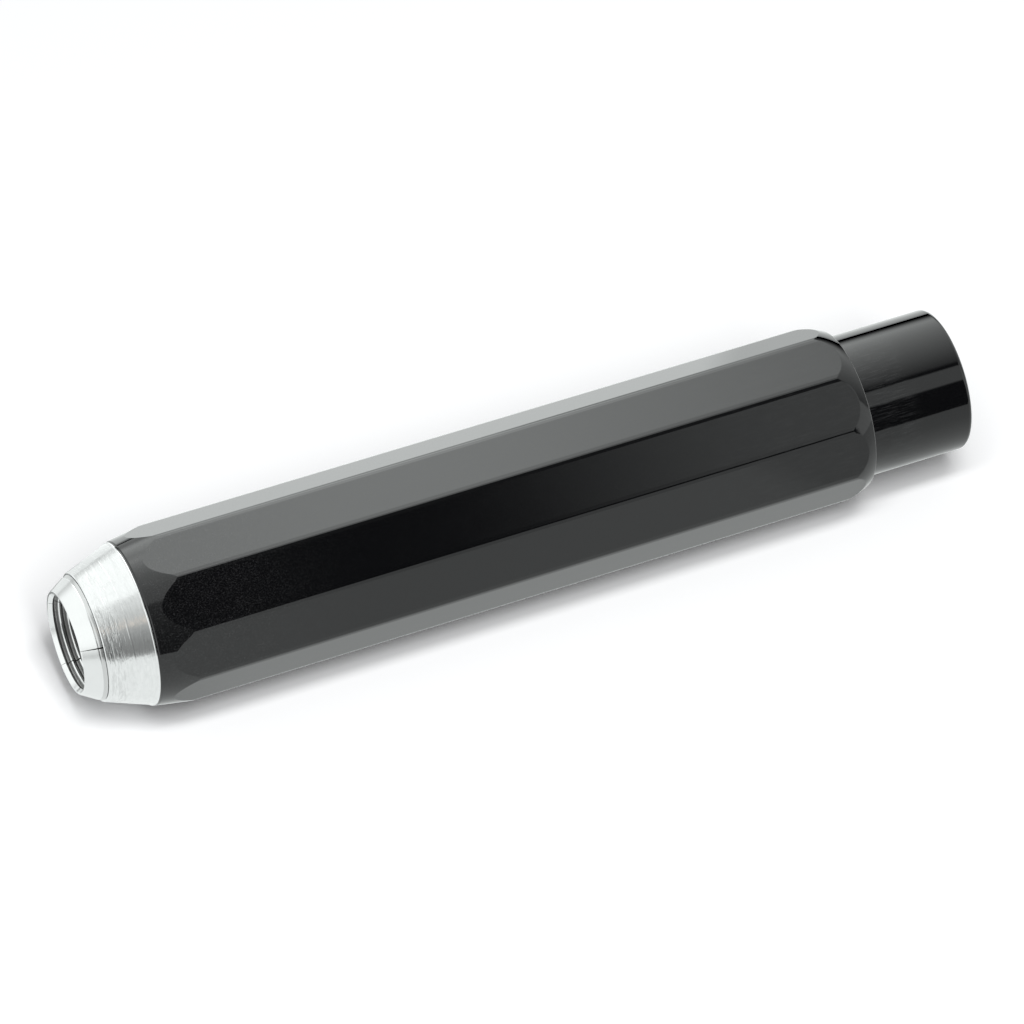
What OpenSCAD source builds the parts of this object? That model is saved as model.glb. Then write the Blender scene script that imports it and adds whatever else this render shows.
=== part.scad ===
// Push-button holder for a round stick of blackboard chalk.
// It lies on one flat of its ten-sided barrel: the axis runs along X, the jaws look to -X and Z = 0 is the table.
// Every turned piece is drawn as (radius, distance behind the rim of the jaws) and then laid on its side.

/* [Chalk and jaws] */
// Diameter of the chalk stick that the jaws hold
chalk_d = 10; // [9:0.1:12]
// How far the closed jaws bite into the radius of the chalk
grip_bite = 0.26; // [0.1:0.02:0.4]
// Depth of a grip ring below its crest
grip_depth = 0.34; // [0.15:0.01:0.38]
// Distance from one grip ring to the next
grip_pitch = 0.82; // [0.6:0.01:1.1]
// Length of the grip rings behind the countersunk mouth
grip_len = 4.92; // [2.5:0.01:6]
// Radial width of the countersink in the mouth of the jaws
mouth_chamfer = 0.5; // [0.3:0.05:0.55]
// Depth of the countersink
mouth_depth = 0.37; // [0.2:0.01:0.6]
// Free space round the chalk behind the grip
chalk_play = 0.15; // [0.12:0.01:0.3]
// Wall of a jaw's spring finger
finger_wall = 0.5; // [0.45:0.05:0.7]
// How far the jaw's head stands out beyond its finger
head_step = 0.55; // [0.45:0.05:0.65]
// Length of the front cone of the jaw's head
head_cone_len = 1.5; // [1:0.05:1.8]
// Length of the straight band behind the front cone
head_band_len = 0.55; // [0.3:0.05:0.7]
// Length of the closing cone behind the band
closing_cone_len = 4; // [3:0.1:5]
// Distance from the rim of the jaws to the root where they bend
finger_len = 27; // [24:0.5:30]
// Width of a slit between two jaws at the rim
slit_front_w = 0.08; // [0.05:0.01:0.15]
// Width of a slit between two jaws at their root
slit_root_w = 1.5; // [0.6:0.1:2]

/* [Collet ring and chalk tube] */
// Length of the bare ring between the jaws and the flange
ring_neck_len = 1; // [0.5:0.1:2]
// Thickness of the flange that the spring pushes on
flange_t = 1.6; // [1:0.1:3]
// Length of the boss behind the flange
boss_len = 6.4; // [4:0.1:8]
// Wall of the boss round the chalk tube
boss_wall = 0.8; // [0.4:0.05:0.95]
// Depth of the boss that stays at the chalk's bore, in front of the tube
socket_lip_len = 0.9; // [0.5:0.1:2]
// Wall of the chalk tube
tube_wall = 0.65; // [0.4:0.05:0.8]

/* [Spring] */
// Wire of the return spring
wire_d = 0.8; // [0.5:0.05:0.9]
// Turns of the return spring
spring_turns = 6.5; // [4:0.5:8]
// Length of the return spring between its two seats at rest
spring_len = 12; // [10:0.5:16]
// Room between a jaw's finger and the inside of the spring
spring_in_play = 0.425; // [0.35:0.025:0.8]
// Room between the outside of the spring and the barrel
spring_out_play = 0.475; // [0.3:0.025:0.8]

/* [Nose cone] */
// How far the jaws stand out of the nose at rest
jaw_stand_out = 2; // [1.9:0.05:2.3]
// Visible length of the nose cone
nose_len = 4.65; // [4:0.05:8]
// Width of the nose's front edge round the jaws
nose_lip_w = 0.26; // [0.2:0.02:0.5]
// Gap between the jaws' band and the mouth of the nose
mouth_gap = 0.08; // [0.06:0.01:0.12]
// Length of the closing seat behind the mouth of the nose
seat_len = 1; // [0.5:0.1:1.5]
// Width of the bright land at the base of the cone
nose_land_w = 0.15; // [0.1:0.05:0.4]
// Step from the barrel's front rim down to the base of the nose
nose_step = 0.07; // [0.02:0.01:0.2]
// Depth of the relief groove behind the nose's shoulder
relief_depth = 0.3; // [0.1:0.05:0.5]
// Width of the relief groove
relief_w = 1; // [0.6:0.1:2]

/* [Barrel] */
// Length of the barrel
barrel_len = 76.7; // [74:0.1:100]
// Wall of the barrel under the middle of a flat
barrel_wall = 1.21; // [1:0.01:2]
// Radial drop from the flats to the front rim
front_rim_drop = 0.23; // [0.15:0.01:0.4]
// Length of the front taper up to the corners
front_taper_len = 4.25; // [3:0.05:8]
// Radial drop from the flats to the rear rim
rear_rim_drop = 0.45; // [0.3:0.01:0.6]
// Length of the rounded rear end up to the corners
rear_round_len = 2.8; // [2.4:0.05:3.2]
// Radius of the rounded rear end
rear_round_r = 8.2; // [7.5:0.1:9]
// Width of the broken edge of the rear bore
bore_chamfer = 0.12; // [0.05:0.01:0.3]
// Running clearance between the chalk tube and its guide
guide_gap = 0.35; // [0.2:0.05:0.5]

/* [Push button] */
// Length of the button that shows behind the barrel
button_out = 11.1; // [8:0.1:16]
// Length of the button inside the barrel at rest
button_in = 20; // [14:0.5:22]
// Travel of the button
button_travel = 4; // [3:0.1:4]
// Running clearance between the button and the barrel
button_gap = 0.06; // [0.04:0.01:0.1]
// Radius of the button's rear edge
button_edge_r = 0.5; // [0.3:0.1:1]
// Thickness of the closed rear end of the button
button_end_t = 2.4; // [1.5:0.1:4]

/* [Hidden] */
$fn = 96;

// The barrel's flats, and the saw slits of the collet as angles round the axis from the resting flat
barrel_sides = 10;
slit_angles = [15.5, 96, 231, 375.5];

// Cuts run past the faces they open by this much
overrun = 1;
// Clearance of the pieces that are screwed or pressed together
fit_gap = 0.02;
// Clearance of a screwed joint
thread_gap = 0.05;
// Clearance between the spring's end turns and their seats
seat_gap = 0.05;
// What the button's stop leaves free at the end of its travel
stop_gap = 0.1;
// Clearance of the flange in the barrel
flange_gap = 0.25;
// Space behind the boss before the guide starts
boss_gap = 1.4;
// Flat crest of a grip ring and flat floor of its groove, as shares of the pitch
grip_crest_share = 0.28;
grip_floor_share = 0.1;

// Radii, from the chalk outwards
chalk_r = chalk_d / 2;
crest_r = chalk_r - grip_bite;
groove_r = crest_r + grip_depth;
rim_r = crest_r + mouth_chamfer;
finger_in_r = chalk_r + chalk_play;
finger_out_r = finger_in_r + finger_wall;
head_r = finger_out_r + head_step;
tube_out_r = finger_in_r + tube_wall;
socket_r = tube_out_r + fit_gap;
boss_r = socket_r + boss_wall;
spring_in_r = finger_out_r + spring_in_play;
spring_r = spring_in_r + wire_d / 2;
bore_r = spring_in_r + wire_d + spring_out_play;
flange_r = bore_r - flange_gap;
button_r = bore_r - button_gap;
guide_r = tube_out_r + guide_gap;
flats_r = bore_r + barrel_wall;
corner_r = flats_r / cos(180 / barrel_sides);

// Nose radii
mouth_r = head_r + mouth_gap;
closing_slope = head_step / closing_cone_len;
nose_bore_r = mouth_r - seat_len * closing_slope;
nose_front_r = mouth_r + nose_lip_w;
front_rim_r = flats_r - front_rim_drop;
nose_base_r = front_rim_r - nose_step;
spigot_r = bore_r - thread_gap;

// Places along the axis, from the rim of the jaws
nose_z = jaw_stand_out;
barrel_z = nose_z + nose_len;
rear_z = barrel_z + barrel_len;
end_z = rear_z + button_out;
grip_z = mouth_depth;
grip_rings = floor(grip_len / grip_pitch);
grip_end_z = grip_z + grip_rings * grip_pitch;
band_end_z = head_cone_len + head_band_len;
flange_z = finger_len + ring_neck_len;
socket_z = flange_z + flange_t + socket_lip_len;
boss_end_z = flange_z + flange_t + boss_len;
spigot_end_z = flange_z - spring_len;
guide_z = boss_end_z + boss_gap;
button_z = rear_z - button_in;
stop_z = button_z - button_travel - stop_gap;
tube_end_z = end_z - button_end_t;

// Rounded rear end: the circle of rear_round_r through the corner and the rear rim
round_z = rear_z - rear_round_len;
rear_rim_r = flats_r - rear_rim_drop;
chord = norm([corner_r - rear_rim_r, rear_round_len]);
sag = sqrt(pow(rear_round_r, 2) - pow(chord / 2, 2));
round_centre_r = (corner_r + rear_rim_r) / 2 - sag * rear_round_len / chord;
round_centre_z = (round_z + rear_z) / 2 - sag * (corner_r - rear_rim_r) / chord;

// Front taper, carried on past the corners
taper_share = 1.5;
taper_out_r = front_rim_r + (corner_r - front_rim_r) * taper_share;

// Spring coil
coil_steps = 20;
wire_sides = 8;
coil_z0 = spigot_end_z + seat_gap + wire_d / 2;
coil_rise = spring_len - 2 * seat_gap - wire_d;

// Lays a piece drawn along Z on its side, with the resting flat on Z = 0
module lay_down() {
    translate([-end_z / 2, 0, flats_r]) rotate([0, 90, 0]) children();
}

// A turned piece from its outline of [radius, distance] points
module turned(outline) {
    rotate_extrude() polygon(outline);
}

// A round bore from z0 to z1
module bore(r, z0, z1) {
    translate([0, 0, z0]) cylinder(r = r, h = z1 - z0);
}

// Half outline of the turned ends that the ten-sided bar is cut to
module barrel_ends() {
    intersection() {
        polygon([
            [0, barrel_z],
            [front_rim_r, barrel_z],
            [taper_out_r, barrel_z + front_taper_len * taper_share],
            [taper_out_r, rear_z],
            [0, rear_z]
        ]);
        union() {
            square([taper_out_r, round_centre_z]);
            translate([round_centre_r, round_centre_z]) circle(r = rear_round_r);
        }
    }
}

// The bore narrows to a guide for the chalk tube, whose rear shoulder stops the button
module barrel() {
    color("#1c1d1f") lay_down() difference() {
        intersection() {
            rotate([0, 0, 180 / barrel_sides])
                translate([0, 0, barrel_z]) cylinder(r = corner_r, h = barrel_len, $fn = barrel_sides);
            rotate_extrude() barrel_ends();
        }
        bore(bore_r, barrel_z - overrun, guide_z);
        bore(guide_r, guide_z - overrun, stop_z + overrun);
        bore(bore_r, stop_z, rear_z + overrun);
        translate([0, 0, rear_z - bore_chamfer])
            cylinder(r1 = bore_r, r2 = bore_r + 2 * bore_chamfer, h = 2 * bore_chamfer);
    }
}

module nose_cone() {
    color("#d9dadb") lay_down() turned([
        [mouth_r, nose_z],
        [nose_front_r, nose_z],
        [nose_base_r, barrel_z - nose_land_w],
        [nose_base_r, barrel_z],
        [spigot_r - relief_depth, barrel_z],
        [spigot_r - relief_depth, barrel_z + relief_w],
        [spigot_r, barrel_z + relief_w],
        [spigot_r, spigot_end_z],
        [nose_bore_r, spigot_end_z],
        [nose_bore_r, nose_z + seat_len]
    ]);
}

// Outline of one grip groove and the crest in front of it, from its rear edge to its front edge
function grip_groove(i) = let (
    z = grip_z + i * grip_pitch,
    crest_end = z + grip_pitch * grip_crest_share,
    slope_len = grip_pitch * (1 - grip_crest_share - grip_floor_share) / 2
) [
    [groove_r, crest_end + slope_len + grip_pitch * grip_floor_share],
    [groove_r, crest_end + slope_len],
    [crest_r, crest_end],
    [crest_r, z]
];

// The whole collet head and fingers, before the slits part them
module jaws_blank() {
    turned(concat(
        [
            [rim_r, 0],
            [head_r, head_cone_len],
            [head_r, band_end_z],
            [finger_out_r, band_end_z + closing_cone_len],
            [finger_out_r, finger_len],
            [finger_in_r, finger_len],
            [finger_in_r, grip_end_z + grip_bite],
            [crest_r, grip_end_z]
        ],
        [for (i = [grip_rings - 1:-1:0]) each grip_groove(i)]
    ));
}

// Wedge between two planes through the axis, big enough to hold any jaw
module sector(from, to) {
    reach = head_r + overrun;
    steps = 4;
    far = reach / cos((to - from) / steps / 2);
    translate([0, 0, -overrun]) linear_extrude(height = finger_len + 2 * overrun)
        polygon(concat([[0, 0]], [for (k = [0:steps])
            let (a = from + (to - from) * k / steps) [far * cos(a), far * sin(a)]]));
}

// One saw slit, narrow at the rim where the closed jaws are squeezed together
module slit(angle) {
    grow = (slit_root_w - slit_front_w) / finger_len * overrun;
    front = (slit_front_w - grow) / 2;
    root = (slit_root_w + grow) / 2;
    rotate([0, 0, angle]) rotate([90, 0, 90]) linear_extrude(height = head_r + overrun)
        polygon([
            [-front, -overrun],
            [front, -overrun],
            [root, finger_len + overrun],
            [-root, finger_len + overrun]
        ]);
}

module jaw(i) {
    color("#cfd1d3") lay_down() difference() {
        intersection() {
            jaws_blank();
            sector(slit_angles[i], slit_angles[i + 1]);
        }
        slit(slit_angles[i]);
        slit(slit_angles[i + 1]);
    }
}

module collet_jaw_1() {
    jaw(0);
}

module collet_jaw_2() {
    jaw(1);
}

module collet_jaw_3() {
    jaw(2);
}

// Ring that carries the three jaws, the flange for the spring and the socket for the chalk tube
module collet_ring() {
    color("#c4c6c8") lay_down() turned([
        [finger_in_r, finger_len],
        [finger_out_r, finger_len],
        [finger_out_r, flange_z],
        [flange_r, flange_z],
        [flange_r, flange_z + flange_t],
        [boss_r, flange_z + flange_t],
        [boss_r, boss_end_z],
        [socket_r, boss_end_z],
        [socket_r, socket_z],
        [finger_in_r, socket_z]
    ]);
}

module chalk_tube() {
    color("#b9bcbf") lay_down() turned([
        [finger_in_r, socket_z],
        [tube_out_r, socket_z],
        [tube_out_r, tube_end_z],
        [finger_in_r, tube_end_z]
    ]);
}

// Point k of a ring of the wire, turned t degrees along the coil
function wire_point(t, k) = let (
    a = 360 * k / wire_sides,
    r = spring_r + wire_d / 2 * cos(a),
    z = coil_z0 + coil_rise * t / (360 * spring_turns) + wire_d / 2 * sin(a)
) [r * cos(t), r * sin(t), z];

module return_spring() {
    rings = ceil(spring_turns * coil_steps);
    points = [for (j = [0:rings], k = [0:wire_sides - 1])
        wire_point(360 * spring_turns * j / rings, k)];
    sides = [for (j = [0:rings - 1], k = [0:wire_sides - 1])
        let (a = j * wire_sides + k, b = j * wire_sides + (k + 1) % wire_sides)
        each [[a, a + wire_sides, b + wire_sides], [a, b + wire_sides, b]]];
    last = rings * wire_sides;
    ends = [for (k = [1:wire_sides - 2]) each [[0, k, k + 1], [last, last + k + 1, last + k]]];
    color("#8f9397") lay_down() polyhedron(points = points, faces = concat(sides, ends));
}

module push_button() {
    color("#17181a") lay_down() difference() {
        rotate_extrude() union() {
            translate([0, button_z]) square([button_r, end_z - button_edge_r - button_z]);
            translate([0, button_z]) square([button_r - button_edge_r, end_z - button_z]);
            translate([button_r - button_edge_r, end_z - button_edge_r]) circle(r = button_edge_r);
        }
        bore(socket_r, button_z - overrun, tube_end_z);
    }
}

barrel();
nose_cone();
collet_jaw_1();
collet_jaw_2();
collet_jaw_3();
collet_ring();
return_spring();
chalk_tube();
push_button();
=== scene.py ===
from math import cos, hypot, pi, radians, sin, sqrt, tan

import bmesh
import bpy
from mathutils import Matrix, Quaternion, Vector


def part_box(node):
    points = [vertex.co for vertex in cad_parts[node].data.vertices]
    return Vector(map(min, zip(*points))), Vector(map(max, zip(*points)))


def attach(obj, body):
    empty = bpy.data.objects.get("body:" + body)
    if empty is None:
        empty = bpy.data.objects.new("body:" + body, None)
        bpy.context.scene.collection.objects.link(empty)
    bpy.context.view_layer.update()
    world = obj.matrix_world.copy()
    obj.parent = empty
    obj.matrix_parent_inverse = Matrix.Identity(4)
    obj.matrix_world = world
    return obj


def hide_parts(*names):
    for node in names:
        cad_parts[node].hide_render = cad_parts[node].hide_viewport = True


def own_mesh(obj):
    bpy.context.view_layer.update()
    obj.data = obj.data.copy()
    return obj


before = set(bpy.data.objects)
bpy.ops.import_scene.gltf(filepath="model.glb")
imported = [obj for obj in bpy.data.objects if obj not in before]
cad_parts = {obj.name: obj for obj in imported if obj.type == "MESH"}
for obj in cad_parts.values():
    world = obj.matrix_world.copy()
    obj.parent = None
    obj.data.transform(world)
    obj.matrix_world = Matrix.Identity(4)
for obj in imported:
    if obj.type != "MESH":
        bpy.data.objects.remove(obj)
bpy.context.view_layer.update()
scene = bpy.context.scene
mm = 0.001

# places that everything is built from: the rim of the jaws and the axis
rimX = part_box("collet_jaw_1")[0].x
buttonLow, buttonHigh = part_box("push_button")
axisZ = (buttonLow.z + buttonHigh.z) / 2
axis = Vector((0, 0, axisZ))


def behindRim(x):
    return (x - rimX) / mm  # distance behind the jaws' rim in millimetres


barrelFront, barrelRear = (behindRim(corner.x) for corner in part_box("barrel"))
noseFront, noseRear = (behindRim(corner.x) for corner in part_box("nose_cone"))
buttonFront, buttonRear = behindRim(buttonLow.x), behindRim(buttonHigh.x)
jawRoot = behindRim(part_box("collet_jaw_1")[1].x)
tubeRear = behindRim(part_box("chalk_tube")[1].x)
buttonR = (buttonHigh.z - buttonLow.z) / 2 / mm
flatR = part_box("barrel")[1].z / mm - axisZ / mm

shot = {
    "aim": (-0.103, -0.248, 8.329),  # in mm
    "distance": 707.44,
    "elevation": 49.22,
    "turn": 25.44,  # from looking along +Y towards +X
    "roll": 2.98,
    "lens": 250.93,
    "sensor": 36,
    "clip": (0.05, 50),  # in metres
}


def addCamera():
    rise, turn = radians(shot["elevation"]), radians(shot["turn"])
    forward = Vector((sin(turn) * cos(rise), cos(turn) * cos(rise), -sin(rise)))
    data = bpy.data.cameras.new("camera")
    data.lens, data.sensor_width = shot["lens"], shot["sensor"]
    data.clip_start, data.clip_end = shot["clip"]
    camera = bpy.data.objects.new("camera", data)
    scene.collection.objects.link(camera)
    camera.rotation_mode = "QUATERNION"
    camera.location = (Vector(shot["aim"]) - forward * shot["distance"]) * mm
    camera.rotation_quaternion = (forward.to_track_quat("-Z", "Y")
                                  @ Quaternion((0, 0, 1), radians(shot["roll"])))
    scene.camera = camera


addCamera()
scene.view_settings.view_transform = "Standard"
print("camera set")


class Signal:
    # a socket that can be used in sums and products
    def __init__(self, tree, socket):
        self.tree, self.socket = tree, socket

    def calc(self, operation, *values):
        return self.tree.node("ShaderNodeMath", {"operation": operation}, dict(enumerate(values)))

    def __add__(self, other):
        return self.calc("ADD", self, other)

    def __radd__(self, other):
        return self.calc("ADD", other, self)

    def __sub__(self, other):
        return self.calc("SUBTRACT", self, other)

    def __rsub__(self, other):
        return self.calc("SUBTRACT", other, self)

    def __mul__(self, other):
        return self.calc("MULTIPLY", self, other)

    def __rmul__(self, other):
        return self.calc("MULTIPLY", other, self)


class ShaderTree:
    def __init__(self, tree):
        self.tree = tree
        tree.nodes.clear()

    def node(self, kind, settings=None, values=None, output=0):
        made = self.tree.nodes.new(kind)
        for name, value in (settings or {}).items():
            setattr(made, name, value)
        for name, value in (values or {}).items():
            if isinstance(value, Signal):
                self.tree.links.new(value.socket, made.inputs[name])
            else:
                made.inputs[name].default_value = value
        return Signal(self, made.outputs[output]) if made.outputs else made

    def split(self, vector):
        parts = self.node("ShaderNodeSeparateXYZ", {}, {0: vector}).socket.node
        return [Signal(self, part) for part in parts.outputs]

    def join(self, x, y, z):
        return self.node("ShaderNodeCombineXYZ", {}, {0: x, 1: y, 2: z})

    def rays(self, *names):
        path = self.node("ShaderNodeLightPath").socket.node
        return [Signal(self, path.outputs[name]) for name in names]

    def larger(self, first, second):
        return self.node("ShaderNodeMath", {"operation": "MAXIMUM"}, {0: first, 1: second})

    def ramp(self, value, low, high):
        # smooth step from 0 at low to 1 at high
        return self.node("ShaderNodeMapRange", {"interpolation_type": "SMOOTHSTEP"},
                         {"Value": value, "From Min": low, "From Max": high})

    def window(self, value, low, high, soft):
        # 1 between low and high, with soft ends
        return (self.ramp(value, low - soft, low + soft)
                * (1 - self.ramp(value, high - soft, high + soft)))

    def blend(self, share, first, second):
        return self.node("ShaderNodeMix", {"data_type": "RGBA"}, {0: share, 6: first, 7: second}, 2)

    def grain(self, parts, along, across, scale, detail, roughness):
        # noise that is stretched or squeezed along the axis and across it
        x, y, z = parts
        return self.node("ShaderNodeTexNoise", {}, {
            "Vector": self.join(x * along, y * across, z * across),
            "Scale": scale, "Detail": detail, "Roughness": roughness})


def newMaterial(name):
    material = bpy.data.materials.new(name)
    material.use_nodes = True
    return material, ShaderTree(material.node_tree)


# What the gloss sees round it. Its x, y and z are parts of a direction, from -1 to 1.
studio = {
    "darkest": 0.02,
    "tint": (0.966, 1.0, 0.988, 1),
    "front": (-0.40, -0.30),  # y where the front begins
    # a tent above and to the right, open towards the camera and brighter at the back
    "overhead": 1.2,
    "towardsBack": 2.4,
    "tentEdge": (-0.37, -0.25),
    "tentSide": (1.23, 0.62, 0.268, 0.362),  # level, loss to the right, x from and to
    "tentSeam": (0.08, 0.1, 0.248, 0.012),  # loss, x from and to, softness
    "tentBack": (0.34, 0.70, 0.84),  # loss, y from and to
    "tentBackSide": (0.08, 0.16),
    "rightStrip": (0.8, 0.272, 0.32),  # level, x from and to
    "rightStripPlace": (-0.71, -0.40, 0.02),
    "bridge": (1.1, 0.44, 0.50),  # light that joins strip and tent at the far right
    "bridgePlace": (-0.70, -0.26, 0.04),
    # the thin dark line between the tent and the floor behind the object
    "behind": (0.2, 0.6),
    "horizon": (0.02, 0.34),
    "horizonFloor": (0.5, 0.0, 0.2),
    "horizonSide": (0.06, 0.2),
    # an even wall on the left, with a dim front, a warm patch and a bright card
    "leftWall": 1.15,
    "wallEdge": (-0.05, 0.12),
    "wallFoot": (0.38, -0.03, 0.3),
    "frontFill": 0.24,
    "frontRise": 0.76,
    "warmTint": (1.12, 0.975, 0.84, 1),
    "warmLevel": 0.32,
    "warmPlace": (0.665, 0.715, 0.03),
    "warmSide": (-0.5, -0.3),
    "leftCard": 1.22,
    "cardSide": (-0.74, -0.60),
    "cardPlace": (-0.86, -0.55),
    # how the left passes into the right, behind and in front
    "middle": (-0.10, 0.04),
    "middleFront": (-0.38, 0.14),
}


def rightSide(tree, x, y, z, front):
    s = studio
    level, loss, *side = s["tentSide"]
    tent = (s["overhead"] + s["towardsBack"] * y) * tree.ramp(y, *s["tentEdge"])
    tent = tent * (level - loss * tree.ramp(x, *side))
    tent = tent * (1 - s["tentSeam"][0] * tree.window(x, *s["tentSeam"][1:]))
    tent = tent * (1 - s["tentBack"][0] * tree.ramp(y, *s["tentBack"][1:])
                   * (1 - tree.ramp(x, *s["tentBackSide"])))
    level, *side = s["rightStrip"]
    strip = level * tree.ramp(x, *side) * tree.window(y, *s["rightStripPlace"])
    level, *side = s["bridge"]
    bridge = level * tree.ramp(x, *side) * tree.window(y, *s["bridgePlace"])
    behind = tree.ramp(y, *s["behind"])
    level, *rise = s["horizonFloor"]
    horizon = (tree.ramp(z, *s["horizon"])
               + level * (1 - tree.ramp(x, *s["horizonSide"])) * (1 - tree.ramp(z, *rise)))
    return tree.larger(tent * (1 - behind * (1 - horizon)) + front * strip, bridge)


def leftSide(tree, x, y, z, warm):
    s = studio
    behind, edge = tree.ramp(y, *s["behind"]), tree.ramp(y, *s["wallEdge"])
    loss, *rise = s["wallFoot"]
    wall = s["leftWall"] * edge * (1 - loss * behind * (1 - tree.ramp(z, *rise)))
    dim = (s["frontFill"] + s["frontRise"] * z * z * z) * (1 - edge)
    card = s["leftCard"] * (1 - tree.ramp(x, *s["cardSide"])) * tree.ramp(y, *s["cardPlace"])
    return tree.larger(wall + dim + s["warmLevel"] * warm, card)


# Sky and two soft lamps light the colours and draw the shadow. Places and sizes are in metres.
lighting = {
    "sky": 0.175,
    "skyLean": (-0.22, 0.76),  # a little more from the left and from behind
    "keyBox": {"size": (0.838, 0.156), "place": (-0.086, -0.205, 0.975), "power": 3.5},
    "fillBox": {"size": (0.24, 0.72), "place": (-0.039, -0.507, 0.861), "power": 6.2},
}


def lightWorld():
    world = bpy.data.worlds.new("softStudio")
    scene.world = world
    world.use_nodes = True
    tree = ShaderTree(world.node_tree)
    x, y, z = tree.split(tree.node("ShaderNodeTexCoord", {}, {}, "Generated"))
    front = 1 - tree.ramp(y, *studio["front"])
    warm = (tree.window(z, *studio["warmPlace"])
            * (1 - tree.ramp(x, *studio["warmSide"])) * front)
    share = (tree.ramp(x, *studio["middle"]) * (1 - front)
             + tree.ramp(x, *studio["middleFront"]) * front)
    shown = tree.larger(rightSide(tree, x, y, z, front) * share
                        + leftSide(tree, x, y, z, warm) * (1 - share), studio["darkest"])
    # the camera sees plain white past the floor, and paint is lit by the even sky
    camera, glossy, paint = tree.rays("Is Camera Ray", "Is Glossy Ray", "Diffuse Depth")
    gloss = glossy * tree.larger(1 - paint, 0)
    leanX, leanY = lighting["skyLean"]
    sky = lighting["sky"] * tree.larger(1 + leanX * x + leanY * y, 0)
    light = tree.larger(camera, gloss * shown + (1 - gloss) * sky)
    color = tree.blend(gloss, (1, 1, 1, 1), tree.blend(warm, studio["tint"], studio["warmTint"]))
    shine = tree.node("ShaderNodeBackground", {}, {"Color": color, "Strength": light})
    tree.node("ShaderNodeOutputWorld", {}, {"Surface": shine})
    world.cycles.sampling_method = "NONE"


def addLamp(name):
    # draws the shadow's edge, and isn't shown by the gloss
    box = lighting[name]
    data = bpy.data.lights.new(name, "AREA")
    data.shape, data.energy = "RECTANGLE", box["power"]
    data.size, data.size_y = box["size"]
    lamp = bpy.data.objects.new(name, data)
    scene.collection.objects.link(lamp)
    lamp.location = box["place"]
    outward = lamp.location.normalized()
    across = Vector((0, 1, 0)).cross(lamp.location).normalized()
    along = lamp.location.cross(across).normalized()
    lamp.rotation_mode = "QUATERNION"
    lamp.rotation_quaternion = Matrix((across, along, outward)).transposed().to_quaternion()
    lamp.visible_glossy = False


# Places on the floor are in metres. What the gloss sees of the floor is painted light: a glow with
# painted brighter and darker patches and a painted shadow of the head.
floorLook = {
    "size": 6.0,
    "color": (0.82, 0.825, 0.83, 1),
    "seen": (1.10, 1.11, 1.118, 1),  # brighter for the camera, so that only the shadow is grey
    "tint": (0.965, 1.0, 0.99, 1),
    "shine": 0.94,  # what the gloss sees of it
    "near": (0.18, -0.035, -0.008),  # painted brighter beside the barrel: gain, y from and to
    "behind": (0.76, 0.01, 0.03),  # and painted brighter again behind it
    "behindEnd": (0.09, 0.16),
    "brightStart": (-0.042, -0.028),
    "brightLoss": 0.05,
    "beyond": (0.3, -0.058, -0.052),  # and in front of the mouth: gain, x from and to
    "beyondStart": (0.002, 0.01),
    "beyondEnd": (0.04, 0.06),
    "far": (0.17, 0.26),  # painted darker far behind
    "farLoss": (0.35, 0.57, -0.05, 0.02),
    "rearLoss": (0.2, 0.036, 0.042),
    "shade": 0.7,  # a painted shadow of the head
    "shadeDeep": (0.011, 0.0195, 0.0015),
    "shadeWide": (-0.053, -0.040, 0.002),
}


def paintedFloorShine(tree, x, y):
    # painted light for the gloss: brighter beside, behind and in front of the head, darker far
    # behind, with a painted shadow of the head
    f = floorLook
    gain, *start = f["near"]
    beside = gain * tree.ramp(y, *start)
    gain, *start = f["behind"]
    behind = gain * tree.ramp(y, *start) * (1 - tree.ramp(y, *f["behindEnd"]))
    bright = tree.ramp(x, *f["brightStart"]) * (beside + behind - f["brightLoss"])
    gain, *start = f["beyond"]
    beyond = gain * ((1 - tree.ramp(x, *start)) * tree.ramp(y, *f["beyondStart"])
                     * (1 - tree.ramp(y, *f["beyondEnd"])))
    loss, more, *side = f["farLoss"]
    far = tree.ramp(y, *f["far"]) * (loss + more * tree.ramp(x, *side))
    loss, *side = f["rearLoss"]
    far = far + loss * tree.ramp(x, *side)
    shade = tree.window(y, *f["shadeDeep"]) * tree.window(x, *f["shadeWide"])
    return (f["shine"] + bright + beyond) * (1 - far) * (1 - f["shade"] * shade)


def addFloor():
    bm = bmesh.new()
    bmesh.ops.create_grid(bm, x_segments=1, y_segments=1, size=floorLook["size"] / 2)
    mesh = bpy.data.meshes.new("floor")
    bm.to_mesh(mesh)
    bm.free()
    floor = bpy.data.objects.new("floor", mesh)
    scene.collection.objects.link(floor)
    material, tree = newMaterial("paleFloor")
    x, y, _ = tree.split(tree.node("ShaderNodeTexCoord", {}, {}, "Object"))
    camera, glossy, glass, paint = tree.rays(
        "Is Camera Ray", "Is Glossy Ray", "Is Transmission Ray", "Diffuse Depth")
    painted = tree.node("ShaderNodeBsdfDiffuse", {}, {
        "Color": tree.blend(camera, floorLook["color"], floorLook["seen"])})
    # the gloss sees the floor as a glow with painted light and a painted shadow
    paintedFloorGlow = tree.node("ShaderNodeEmission", {}, {
        "Color": floorLook["tint"], "Strength": paintedFloorShine(tree, x, y)})
    share = tree.larger(glossy, glass) * tree.larger(1 - paint, 0)
    both = tree.node("ShaderNodeMixShader", {}, {0: share, 1: painted, 2: paintedFloorGlow})
    tree.node("ShaderNodeOutputMaterial", {}, {"Surface": both})
    mesh.materials.append(material)


lightWorld()
addLamp("keyBox")
addLamp("fillBox")
addFloor()
print("light and floor set")


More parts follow.
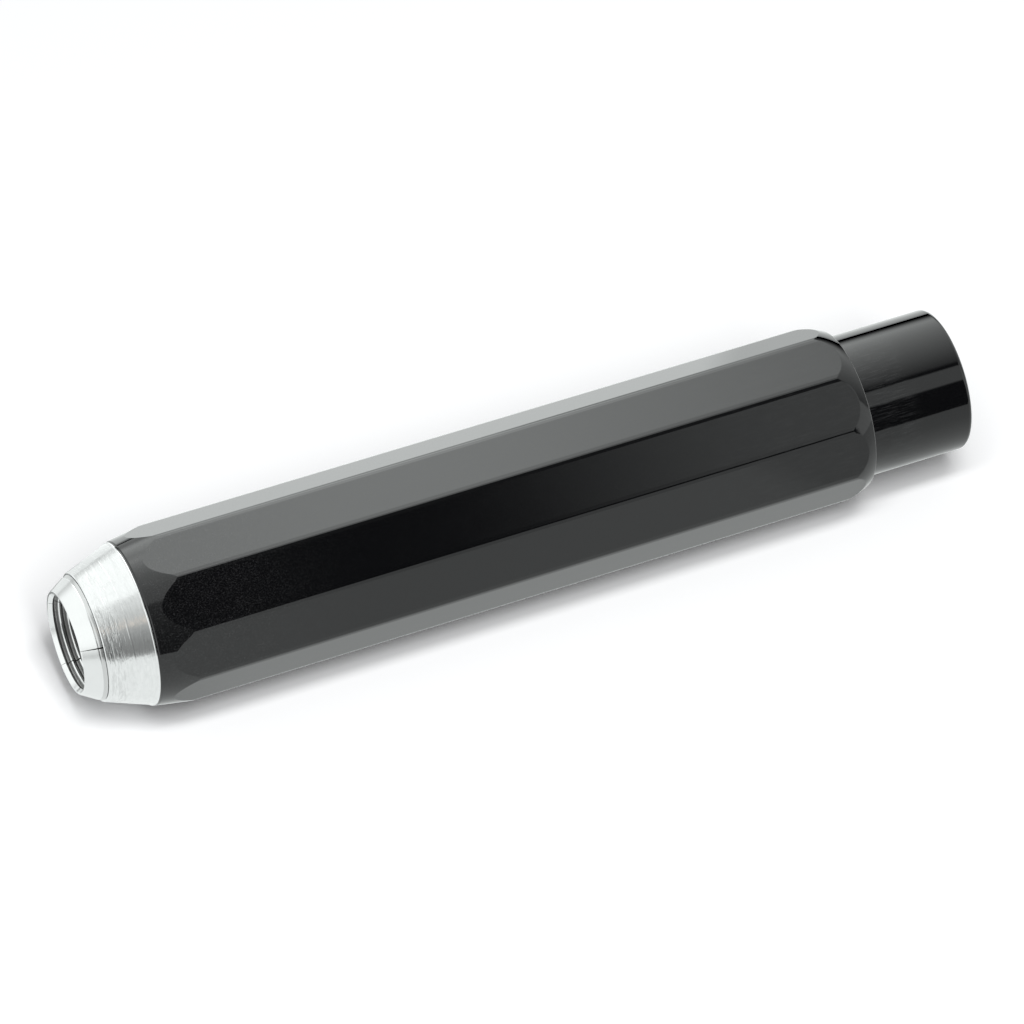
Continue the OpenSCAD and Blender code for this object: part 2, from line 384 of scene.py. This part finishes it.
def aroundAxis(tree):
    # place in mm from the axis at the rim, and the direction away from the axis
    centred = tree.node("ShaderNodeMapping", {}, {
        "Vector": tree.node("ShaderNodeTexCoord", {}, {}, "Object"),
        "Location": (-rimX / mm, 0, -axisZ / mm), "Scale": (1 / mm,) * 3})
    x, y, z = tree.split(centred)
    out = tree.node("ShaderNodeVectorMath", {"operation": "NORMALIZE"}, {0: tree.join(0, y, z)})
    _, outY, outZ = tree.split(out)
    return x, y, z, outY, outZ


def addBump(tree, depth, height):
    return tree.node("ShaderNodeBump", {}, {
        "Strength": 1.0, "Distance": depth * mm, "Height": height})


def finishMaterial(tree, values):
    surface = tree.node("ShaderNodeBsdfPrincipled", {}, values)
    tree.node("ShaderNodeOutputMaterial", {}, {"Surface": surface})


# A grain is given as stretch along the axis, stretch across it, scale, detail and roughness.
black = {
    "color": (0.0024, 0.0025, 0.0030, 1),
    "roughness": 0.045,
    "ior": 1.56,
    "relief": 0.0005,  # depth of the scratches in mm
    "hairs": (0.12, 6, 2.2, 4.0, 0.6),
    "rings": (9, 0.12, 1.0, 3.0, 0.6),
    "dust": (0.034, 0.035, 0.036, 1),
    "specks": (0.8, 1, 8.0, 2.0, 0.7),
    "speckEdge": (0.42, 0.9),
    "dustRest": 0.15,  # how much is left of the dust away from the nose
    "dustEnd": (14, 30),
    "patches": (1, 1, 0.8, 2.0, 0.6),
    "patchiness": (0.4, 1.2),
    "streaks": (0.35, 5, 1.6, 3.0, 0.7),
    "streakEdge": (0.45, 0.7),
    # a painted highlight: a pale band along the rear rim
    "rimHighlight": (0.16, 0.16, 0.16, 1),
    "rimHighlightWidth": 0.1,
    "smears": (1, 1, 0.35, 2.0, 0.6),
    "smearRoughness": 0.03,
}


def blackPlastic(name, alongGrain, ringGrain, rubbed, rimHighlightShare=0.0):
    b = black
    material, tree = newMaterial(name)
    x, y, z, _, _ = aroundAxis(tree)
    place = (x, y, z)
    # hairline scratches along the barrel, and turning marks round it
    height = (tree.grain(place, *b["hairs"]) * alongGrain
              + tree.grain(place, *b["rings"]) * ringGrain)
    # fine dust and lint, thicker towards the nose
    specks = tree.ramp(tree.grain(place, *b["specks"]), *b["speckEdge"])
    thick = b["dustRest"] + (1 - b["dustRest"]) * (1 - tree.ramp(x, *b["dustEnd"]))
    least, more = b["patchiness"]
    grains = specks * thick * (least + more * tree.grain(place, *b["patches"]))
    # handling has left pale hairlines near the rear end
    start, end, soft, share = rubbed
    streaks = tree.ramp(tree.grain(place, *b["streaks"]), *b["streakEdge"])
    grains = tree.larger(grains, streaks * share * tree.window(x, start, end, soft))
    color = tree.blend(grains, b["color"], b["dust"])
    # a pale band along the rear rim is a painted highlight
    rimHighlight = tree.window(x, barrelRear - b["rimHighlightWidth"], barrelRear + 1, 0.02)
    color = tree.blend(rimHighlight * rimHighlightShare, color, b["rimHighlight"])
    rough = b["roughness"] + b["smearRoughness"] * tree.grain(place, *b["smears"])
    finishMaterial(tree, {"Base Color": color, "Roughness": rough, "IOR": b["ior"],
                          "Normal": addBump(tree, b["relief"], height)})
    return material


turned = {
    "arcs": (7, 1.6, 1.0, 4.0, 0.65),
    "fine": (30, 2.4, 1.0, 2.0, 0.6),
    "arcShare": 0.65,
    "clouds": (0.8, 2, 1.3, 3.0, 0.6),
    "cloudTone": 0.93,
    "cloudRoughness": 0.08,
}
# a rougher cut at the nose's front, in short arcs that are darker, and a few single rings
coarseCut = {
    "cuts": (5, 4.5, 1.0, 3.0, 0.6),
    "cutEdge": (0.42, 0.62),
    "cutDepth": 4.5,
    "zone": (2.2, 3.7, 0.2),
    "rest": 0.25,  # how much of it is left elsewhere
    "smoothSide": (0.85, -0.25, 0.6, 0.15),  # hardly any of it on the upper side
    "spots": (2, 9, 1.0, 3.0, 0.65),
    "spotEdge": (0.45, 0.7),
    "spotDepth": 1.0,
    "cutTone": (0.50, 0.51, 0.51, 1),
    "cutToneShares": (0.3, 0.12),
    "lines": [(3.95, 0.22, -2.5), (4.6, 0.14, 2.5)],  # place, width and height
}
# the grip rings keep their rough cut and are painted darker in their grooves as shade, and the
# turned line round the head is painted greyer as the shade in its groove
dullCutAndShade = {
    "color": (0.36, 0.36, 0.355, 1),
    "radii": (4.83, 5.2, 0.06),
    "start": (0.4, 0.45),
    "grit": (9, 12, 1.0, 3.0, 0.7),
    "gritTone": (0.55, 0.9),
    "gritDepth": 9,
    "roughness": 0.25,
    "line": (1.6, 1.92, 0.03),
    "lineRadii": (5.9, 6.0),
    "lineShadeShare": 0.38,
}


def cutCoarsely(tree, x, place, height, tone):
    c = coarseCut
    share, *side = c["smoothSide"]
    zone = tree.window(x, *c["zone"]) * (1 - share * tree.window(place[1], *side))
    cuts = tree.ramp(tree.grain(place, *c["cuts"]), *c["cutEdge"])
    cuts = cuts * (c["rest"] + (1 - c["rest"]) * zone)
    spots = tree.ramp(tree.grain(place, *c["spots"]), *c["spotEdge"])
    height = height - cuts * c["cutDepth"] - spots * c["spotDepth"]
    for middle, width, depth in c["lines"]:
        height = height + depth * tree.window(x, middle - width / 2, middle + width / 2, width / 3)
    inCuts, inSpots = c["cutToneShares"]
    return height, tree.blend(cuts * inCuts + spots * inSpots, tone, c["cutTone"])


def cutDullAndShade(tree, x, y, z, place, height, tone, rough):
    d = dullCutAndShade
    radius = tree.node("ShaderNodeVectorMath", {"operation": "LENGTH"}, {0: tree.join(0, y, z)}, 1)
    # painted shade: darker grey in the grooves of the grip rings, with rough grit
    inside = tree.window(radius, *d["radii"]) * tree.ramp(x, *d["start"])
    grit = tree.grain(place, *d["grit"])
    least, more = d["gritTone"]
    tone = tree.blend(inside * (least + more * grit), tone, d["color"])
    # painted shade in the turned line round the head
    line = tree.window(x, *d["line"]) * tree.ramp(radius, *d["lineRadii"])
    tone = tree.blend(line * d["lineShadeShare"], tone, d["color"])
    return height - inside * grit * d["gritDepth"], tone, rough + inside * d["roughness"]


def turnedMetal(name, color, roughness, ringDepth, coarse=False, dullAndShadedGrooves=False):
    t = turned
    material, tree = newMaterial(name)
    x, y, z, outY, outZ = aroundAxis(tree)
    place = (x, outY, outZ)
    # tool marks run round the axis and fade in and out along it
    height = (tree.grain(place, *t["arcs"]) * t["arcShare"]
              + tree.grain(place, *t["fine"]) * (1 - t["arcShare"]))
    cloud = tree.grain(place, *t["clouds"])
    darker = tuple(t["cloudTone"] * part for part in color)
    tone = tree.blend(cloud, (*darker, 1), (*color, 1))
    rough = roughness + t["cloudRoughness"] * cloud
    if coarse:
        height, tone = cutCoarsely(tree, x, place, height, tone)
    if dullAndShadedGrooves:
        height, tone, rough = cutDullAndShade(tree, x, y, z, place, height, tone, rough)
    finishMaterial(tree, {"Base Color": tone, "Metallic": 1.0, "Roughness": rough,
                          "Normal": addBump(tree, ringDepth, height)})
    return material


# black: grain along and round the barrel, and where it is rubbed (from, to, softness, share)
# metal: colour, roughness and depth of the tool marks in mm
materials = {
    "flats": blackPlastic("blackFlats", 1.0, 0.0, (66, 90, 8, 0.25)),
    # the turned ends carry the painted highlight along the rear rim
    "ends": blackPlastic("blackTurnedEnds", 0.2, 0.8, (66, 90, 8, 0.2), rimHighlightShare=1.0),
    "button": blackPlastic("blackButton", 0.6, 0.3, (70, 88.5, 1.2, 0.55)),
    "nose": turnedMetal("turnedNose", (0.90, 0.905, 0.905), 0.12, 0.0035, coarse=True),
    # the jaws get the painted shade in their grooves
    "jaws": turnedMetal("turnedJaws", (0.88, 0.885, 0.885), 0.14, 0.0015, dullAndShadedGrooves=True),
    # dull sawn slit walls, painted dark as the shade inside the slits
    "sawnAndShaded": turnedMetal("sawnFacesPaintedShade", (0.10, 0.10, 0.10), 0.5, 0.001),
    "tube": turnedMetal("drawnTube", (0.74, 0.75, 0.76), 0.3, 0.001),
    "steel": turnedMetal("springWire", (0.47, 0.48, 0.50), 0.25, 0.0005),
}
print("materials made")


def spot(distance, radius):
    # straight below the axis, at a distance behind the rim
    return Vector((rimX + distance * mm, 0, axisZ - radius * mm))


def startOutline(outline, closed=True):
    # outline: (distance behind the rim, radius, rounding) in millimetres
    bm = bmesh.new()
    points = [bm.verts.new(spot(distance, radius)) for distance, radius, *_ in outline]
    pairs = list(zip(points, points[1:] + points[:1]))
    for pair in pairs if closed else pairs[:-1]:
        bm.edges.new(pair)
    for point, (_, _, *rounding) in zip(points, outline):
        if rounding:
            bmesh.ops.bevel(bm, geom=[point], offset=rounding[0] * mm, offset_type="OFFSET",
                            segments=4, profile=0.5, affect="VERTICES", material=-1)
    return bm


def turnFull(bm, steps):
    bmesh.ops.spin(bm, geom=bm.verts[:] + bm.edges[:], cent=axis, axis=(1, 0, 0), angle=2 * pi,
                   steps=steps, use_merge=True)
    bmesh.ops.remove_doubles(bm, verts=bm.verts[:], dist=1e-7)
    bmesh.ops.recalc_face_normals(bm, faces=bm.faces[:])


def cutAway(bm, point, outward, look):
    # what lies beyond the plane goes, and the cut is closed
    cut = bmesh.ops.bisect_plane(bm, geom=bm.verts[:] + bm.edges[:] + bm.faces[:], dist=1e-8,
                                 plane_co=point, plane_no=outward, clear_outer=True)
    rim = [edge for edge in cut["geom_cut"]
           if isinstance(edge, bmesh.types.BMEdge) and edge.is_boundary]
    for face in bmesh.ops.contextual_create(bm, geom=rim)["faces"]:
        face.material_index = look


def addPiece(name, bm, body, node, looks, sharpAngle=24):
    for edge in bm.edges:
        first, last = edge.link_faces[0], edge.link_faces[-1]
        edge.smooth = (first.material_index == last.material_index
                       and edge.calc_face_angle(0) < radians(sharpAngle))
    mesh = bpy.data.meshes.new(name)
    bm.to_mesh(mesh)
    bm.free()
    piece = bpy.data.objects.new(name, mesh)
    scene.collection.objects.link(piece)
    for look in looks:
        mesh.materials.append(materials[look])
    mesh.shade_smooth()
    weighted = piece.modifiers.new("evenShading", "WEIGHTED_NORMAL")
    weighted.keep_sharp = True
    weighted.weight = 80
    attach(piece, body)
    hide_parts(node)
    print(name, "made with", len(mesh.polygons), "faces")
    return piece


barrel = {
    "sides": 10,
    "bore": 7.35,
    "guide": 6.15,
    "guideFront": 37.4,
    "guideRear": 59.25,
    "frontRim": 8.33,
    "frontTaper": 4.25,  # length of the taper up to the corners
    "frontStep": 0.06,
    "rearRim": 8.11,
    "rearRound": 2.8,  # length of the rounded end up to the corners
    "roundR": 8.2,
    "roundSteps": 14,
    "rearEdge": 0.11,
    "boreEdge": 0.12,
    "polished": 0.4,  # how far a polished corner reaches into its flats
    "polishTilt": 6.8,
    "polishEdge": 0.012,
    "scallopEdge": 0.04,
    "steps": 240,
}


def roundedEnd(cornerR):
    # an arc from the corners to the rear rim, and the radius of its highest point
    b = barrel
    roundFront, drop = barrelRear - b["rearRound"], cornerR - b["rearRim"]
    chord = hypot(drop, b["rearRound"])
    sag = sqrt(b["roundR"] ** 2 - (chord / 2) ** 2)
    middleR = (cornerR + b["rearRim"]) / 2 - sag * b["rearRound"] / chord
    middleX = (roundFront + barrelRear) / 2 - sag * drop / chord
    last = (barrelRear - middleX) / b["roundR"]
    arc = [(middleX + b["roundR"] * sin(t), middleR + b["roundR"] * cos(t))
           for t in (k / b["roundSteps"] * last for k in range(b["roundSteps"] + 1))]
    arc[-1] = (barrelRear, b["rearRim"], b["rearEdge"])
    return arc, middleR + b["roundR"]


def makeBarrel():
    b = barrel
    cornerR = flatR / cos(pi / b["sides"])
    arc, blankR = roundedEnd(cornerR)
    taperLength = (blankR - b["frontRim"]) * b["frontTaper"] / (cornerR - b["frontRim"])
    step, lip = b["frontStep"], b["frontRim"] - b["frontStep"]
    bm = startOutline([
        (barrelFront, b["bore"]), (barrelFront, lip, 0.03), (barrelFront + 2 * step, lip),
        (barrelFront + 4 * step, b["frontRim"] + step / 2), (barrelFront + taperLength, blankR),
        *arc, (barrelRear, b["bore"] + b["boreEdge"]), (barrelRear - b["boreEdge"], b["bore"]),
        (b["guideRear"], b["bore"]), (b["guideRear"], b["guide"]),
        (b["guideFront"], b["guide"]), (b["guideFront"], b["bore"])])
    turnFull(bm, b["steps"])
    for face in bm.faces:
        face.material_index = 1
    # mill the ten flats, then the tilted strips that polishing has left along their corners
    turn, tilt = 2 * pi / b["sides"], radians(b["polishTilt"])
    stripR = flatR * cos(tilt) + (flatR * tan(turn / 2) - b["polished"]) * sin(tilt)
    middleR = stripR / cos(turn / 2 - tilt) - b["polishEdge"]
    for extra, distance in [(0, flatR), (tilt, stripR), (-tilt, stripR), (turn / 2, middleR)]:
        for side in range(b["sides"]):
            angle = turn * side + extra
            outward = Vector((0, sin(angle), -cos(angle)))
            cutAway(bm, axis + outward * distance * mm, outward, 0)
    bmesh.ops.recalc_face_normals(bm, faces=bm.faces[:])
    # break the edges where flats and rounded end meet
    scallops = [edge for edge in bm.edges
                if len({face.material_index for face in edge.link_faces}) == 2
                and behindRim(edge.verts[0].co.x) > barrelRear - b["rearRound"] - 1]
    bmesh.ops.bevel(bm, geom=scallops, offset=b["scallopEdge"] * mm, offset_type="OFFSET",
                    segments=1, profile=0.5, affect="EDGES", material=1)
    addPiece("barrelShell", bm, "holder", "barrel", ["flats", "ends"], 5)


makeBarrel()

nose = {
    "mouth": 6.28,
    "frontR": 6.54,
    "baseR": 8.26,
    "land": 0.15,
    "seat": 1.0,
    "bore": 6.1425,
    "relief": 7.0,
    "reliefEnd": 7.65,
    "spigot": 7.3,
    "edge": 0.1,
    "bead": 0.07,
    "steps": 240,
}


def makeNose():
    n = nose
    beadX, coneR = barrelFront - n["land"], n["baseR"] - n["bead"]
    beadR = n["baseR"] + n["bead"] / 2
    slope = (coneR - n["frontR"]) / (beadX - noseFront)
    bm = startOutline([
        (noseFront, n["mouth"], 0.03), (noseFront, n["frontR"], n["edge"]),
        (noseFront + 3 * n["edge"], n["frontR"] + 3 * n["edge"] * slope),
        (beadX, coneR), (beadX + n["bead"], beadR), (barrelFront, beadR, 0.03),
        (barrelFront, n["relief"]), (n["reliefEnd"], n["relief"]), (n["reliefEnd"], n["spigot"]),
        (noseRear, n["spigot"]), (noseRear, n["bore"]), (noseFront + n["seat"], n["bore"])])
    turnFull(bm, n["steps"])
    addPiece("noseCone", bm, "holder", "nose_cone", ["nose"])


makeNose()

jaw = {
    "slits": [15.5, 96, 231, 375.5],  # degrees round the axis from the resting flat
    "slitFront": 0.025,
    "slitRoot": 1.8,
    "rim": 5.24,
    "rimWidth": 0.2,
    "cone": 1.55,
    "headR": 6.2,
    "hold": 0.1,  # keeps the shading of the cone even up to its edges
    "edge": 0.02,
    "line": 0.06,
    "lineDepth": 0.04,
    "lip": 1.95,
    "lipR": 6.38,
    "band": 2.05,
    "closing": 6.05,
    "fingerOut": 5.65,
    "fingerIn": 5.15,
    "crest": 4.74,
    "groove": 5.08,
    "mouth": 0.4,
    "pitch": 0.82,
    "rings": 6,
    "bite": 0.26,
    "firstCrest": 1.12,  # from the rim to the middle of the first whole crest
    "stepsPerRing": 16,
    "degreesPerStep": 1.5,
}
gripEnd = jaw["firstCrest"] + (jaw["rings"] - 1) * jaw["pitch"]


def gripOutline():
    # a wave with rounded crests from its last crest forward, cut off by the countersunk mouth
    j = jaw
    middle, swing = (j["groove"] + j["crest"]) / 2, (j["groove"] - j["crest"]) / 2
    step = j["pitch"] / j["stepsPerRing"]
    places = [gripEnd - k * step for k in range(1, round((gripEnd - j["mouth"]) / step) + 1)]
    return [(x, middle - swing * cos(2 * pi * (x - j["firstCrest"]) / j["pitch"])) for x in places]


def makeJaw(number):
    j = jaw
    rise = j["hold"] * (j["headR"] - j["rim"]) / j["cone"]
    bm = startOutline([
        (0, j["rim"] - j["rimWidth"]), (0, j["rim"], j["edge"]), (j["hold"], j["rim"] + rise),
        (j["cone"] - j["hold"], j["headR"] - rise), (j["cone"], j["headR"], j["edge"]),
        (j["cone"] + j["line"], j["headR"] - j["lineDepth"], j["edge"]),
        (j["cone"] + 2 * j["line"], j["headR"] + j["edge"], j["edge"]),
        (j["lip"], j["lipR"], 0.04), (j["lip"] + 0.03, j["headR"]), (j["band"], j["headR"]),
        (j["closing"], j["fingerOut"]), (jawRoot, j["fingerOut"]), (jawRoot, j["fingerIn"]),
        (gripEnd + j["bite"], j["fingerIn"]), (gripEnd, j["crest"]), *gripOutline()])
    first, last = j["slits"][number], j["slits"][number + 1]
    start = Matrix.Rotation(radians(first), 3, "X")
    bmesh.ops.rotate(bm, verts=bm.verts[:], cent=axis, matrix=start)
    cap = bmesh.ops.contextual_create(bm, geom=bm.edges[:])["faces"]
    bmesh.ops.spin(bm, geom=bm.verts[:] + bm.edges[:] + cap, cent=axis, axis=(1, 0, 0),
                   angle=radians(last - first), steps=round((last - first) / j["degreesPerStep"]))
    bmesh.ops.recalc_face_normals(bm, faces=bm.faces[:])
    # saw the slits, which widen towards the root; their walls get the dark painted shade
    lean = (j["slitRoot"] - j["slitFront"]) / 2 / jawRoot
    for degrees, way in ((first, -1), (last, 1)):
        a = radians(degrees)
        across = way * Vector((0, cos(a), sin(a)))
        beside = axis + Vector((rimX, 0, 0)) - across * j["slitFront"] / 2 * mm
        cutAway(bm, beside, across + Vector((lean, 0, 0)), 1)
    bmesh.ops.recalc_face_normals(bm, faces=bm.faces[:])
    addPiece(f"jaw{number + 1}", bm, f"jaw_{number + 1}", f"collet_jaw_{number + 1}",
             ["jaws", "sawnAndShaded"])


for number in range(3):
    makeJaw(number)

button = {
    "bore": 5.82,
    "frontEdge": 0.1,
    "edge": 0.5,
    "steps": 240,
}


def makeButton():
    bm = startOutline([
        (tubeRear, 0), (tubeRear, button["bore"]), (buttonFront, button["bore"]),
        (buttonFront, buttonR, button["frontEdge"]), (buttonRear, buttonR, button["edge"]),
        (buttonRear, 0)], closed=False)
    turnFull(bm, button["steps"])
    addPiece("buttonCap", bm, "plunger", "push_button", ["button"])


makeButton()

spring = {
    "wire": 0.8,
    "radius": 6.475,
    "turns": 6.5,
    "seatGap": 0.05,
    "pressed": 0.667,  # share of its length that is left when the button is pressed
    "stepsPerTurn": 40,
    "wireSides": 12,
}


def makeSpring():
    s = spring
    low, high = (behindRim(corner.x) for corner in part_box("return_spring"))
    bm = bmesh.new()
    wireR = s["wire"] / 2
    bmesh.ops.create_circle(bm, segments=s["wireSides"], radius=wireR * mm, cap_ends=True)
    bmesh.ops.rotate(bm, verts=bm.verts[:], matrix=Matrix.Rotation(pi / 2, 3, "X"))
    bmesh.ops.translate(bm, verts=bm.verts[:], vec=spot(low + wireR, s["radius"]))
    steps = round(s["turns"] * s["stepsPerTurn"])
    rise = (high - low - s["wire"]) * mm / steps
    bmesh.ops.spin(bm, geom=bm.verts[:] + bm.edges[:] + bm.faces[:], cent=axis, axis=(1, 0, 0),
                   dvec=(rise, 0, 0), angle=2 * pi * s["turns"], steps=steps)
    bmesh.ops.remove_doubles(bm, verts=bm.verts[:], dist=1e-8)
    bmesh.ops.recalc_face_normals(bm, faces=bm.faces[:])
    piece = addPiece("springCoil", bm, "holder", "return_spring", ["steel"], 40)
    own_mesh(piece)


makeSpring()

# the ring and the tube keep their own shape and get their metal
for node, look in (("collet_ring", "jaws"), ("chalk_tube", "tube")):
    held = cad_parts[node]
    held.data.materials.clear()
    held.data.materials.append(materials[look])
print("pieces made")
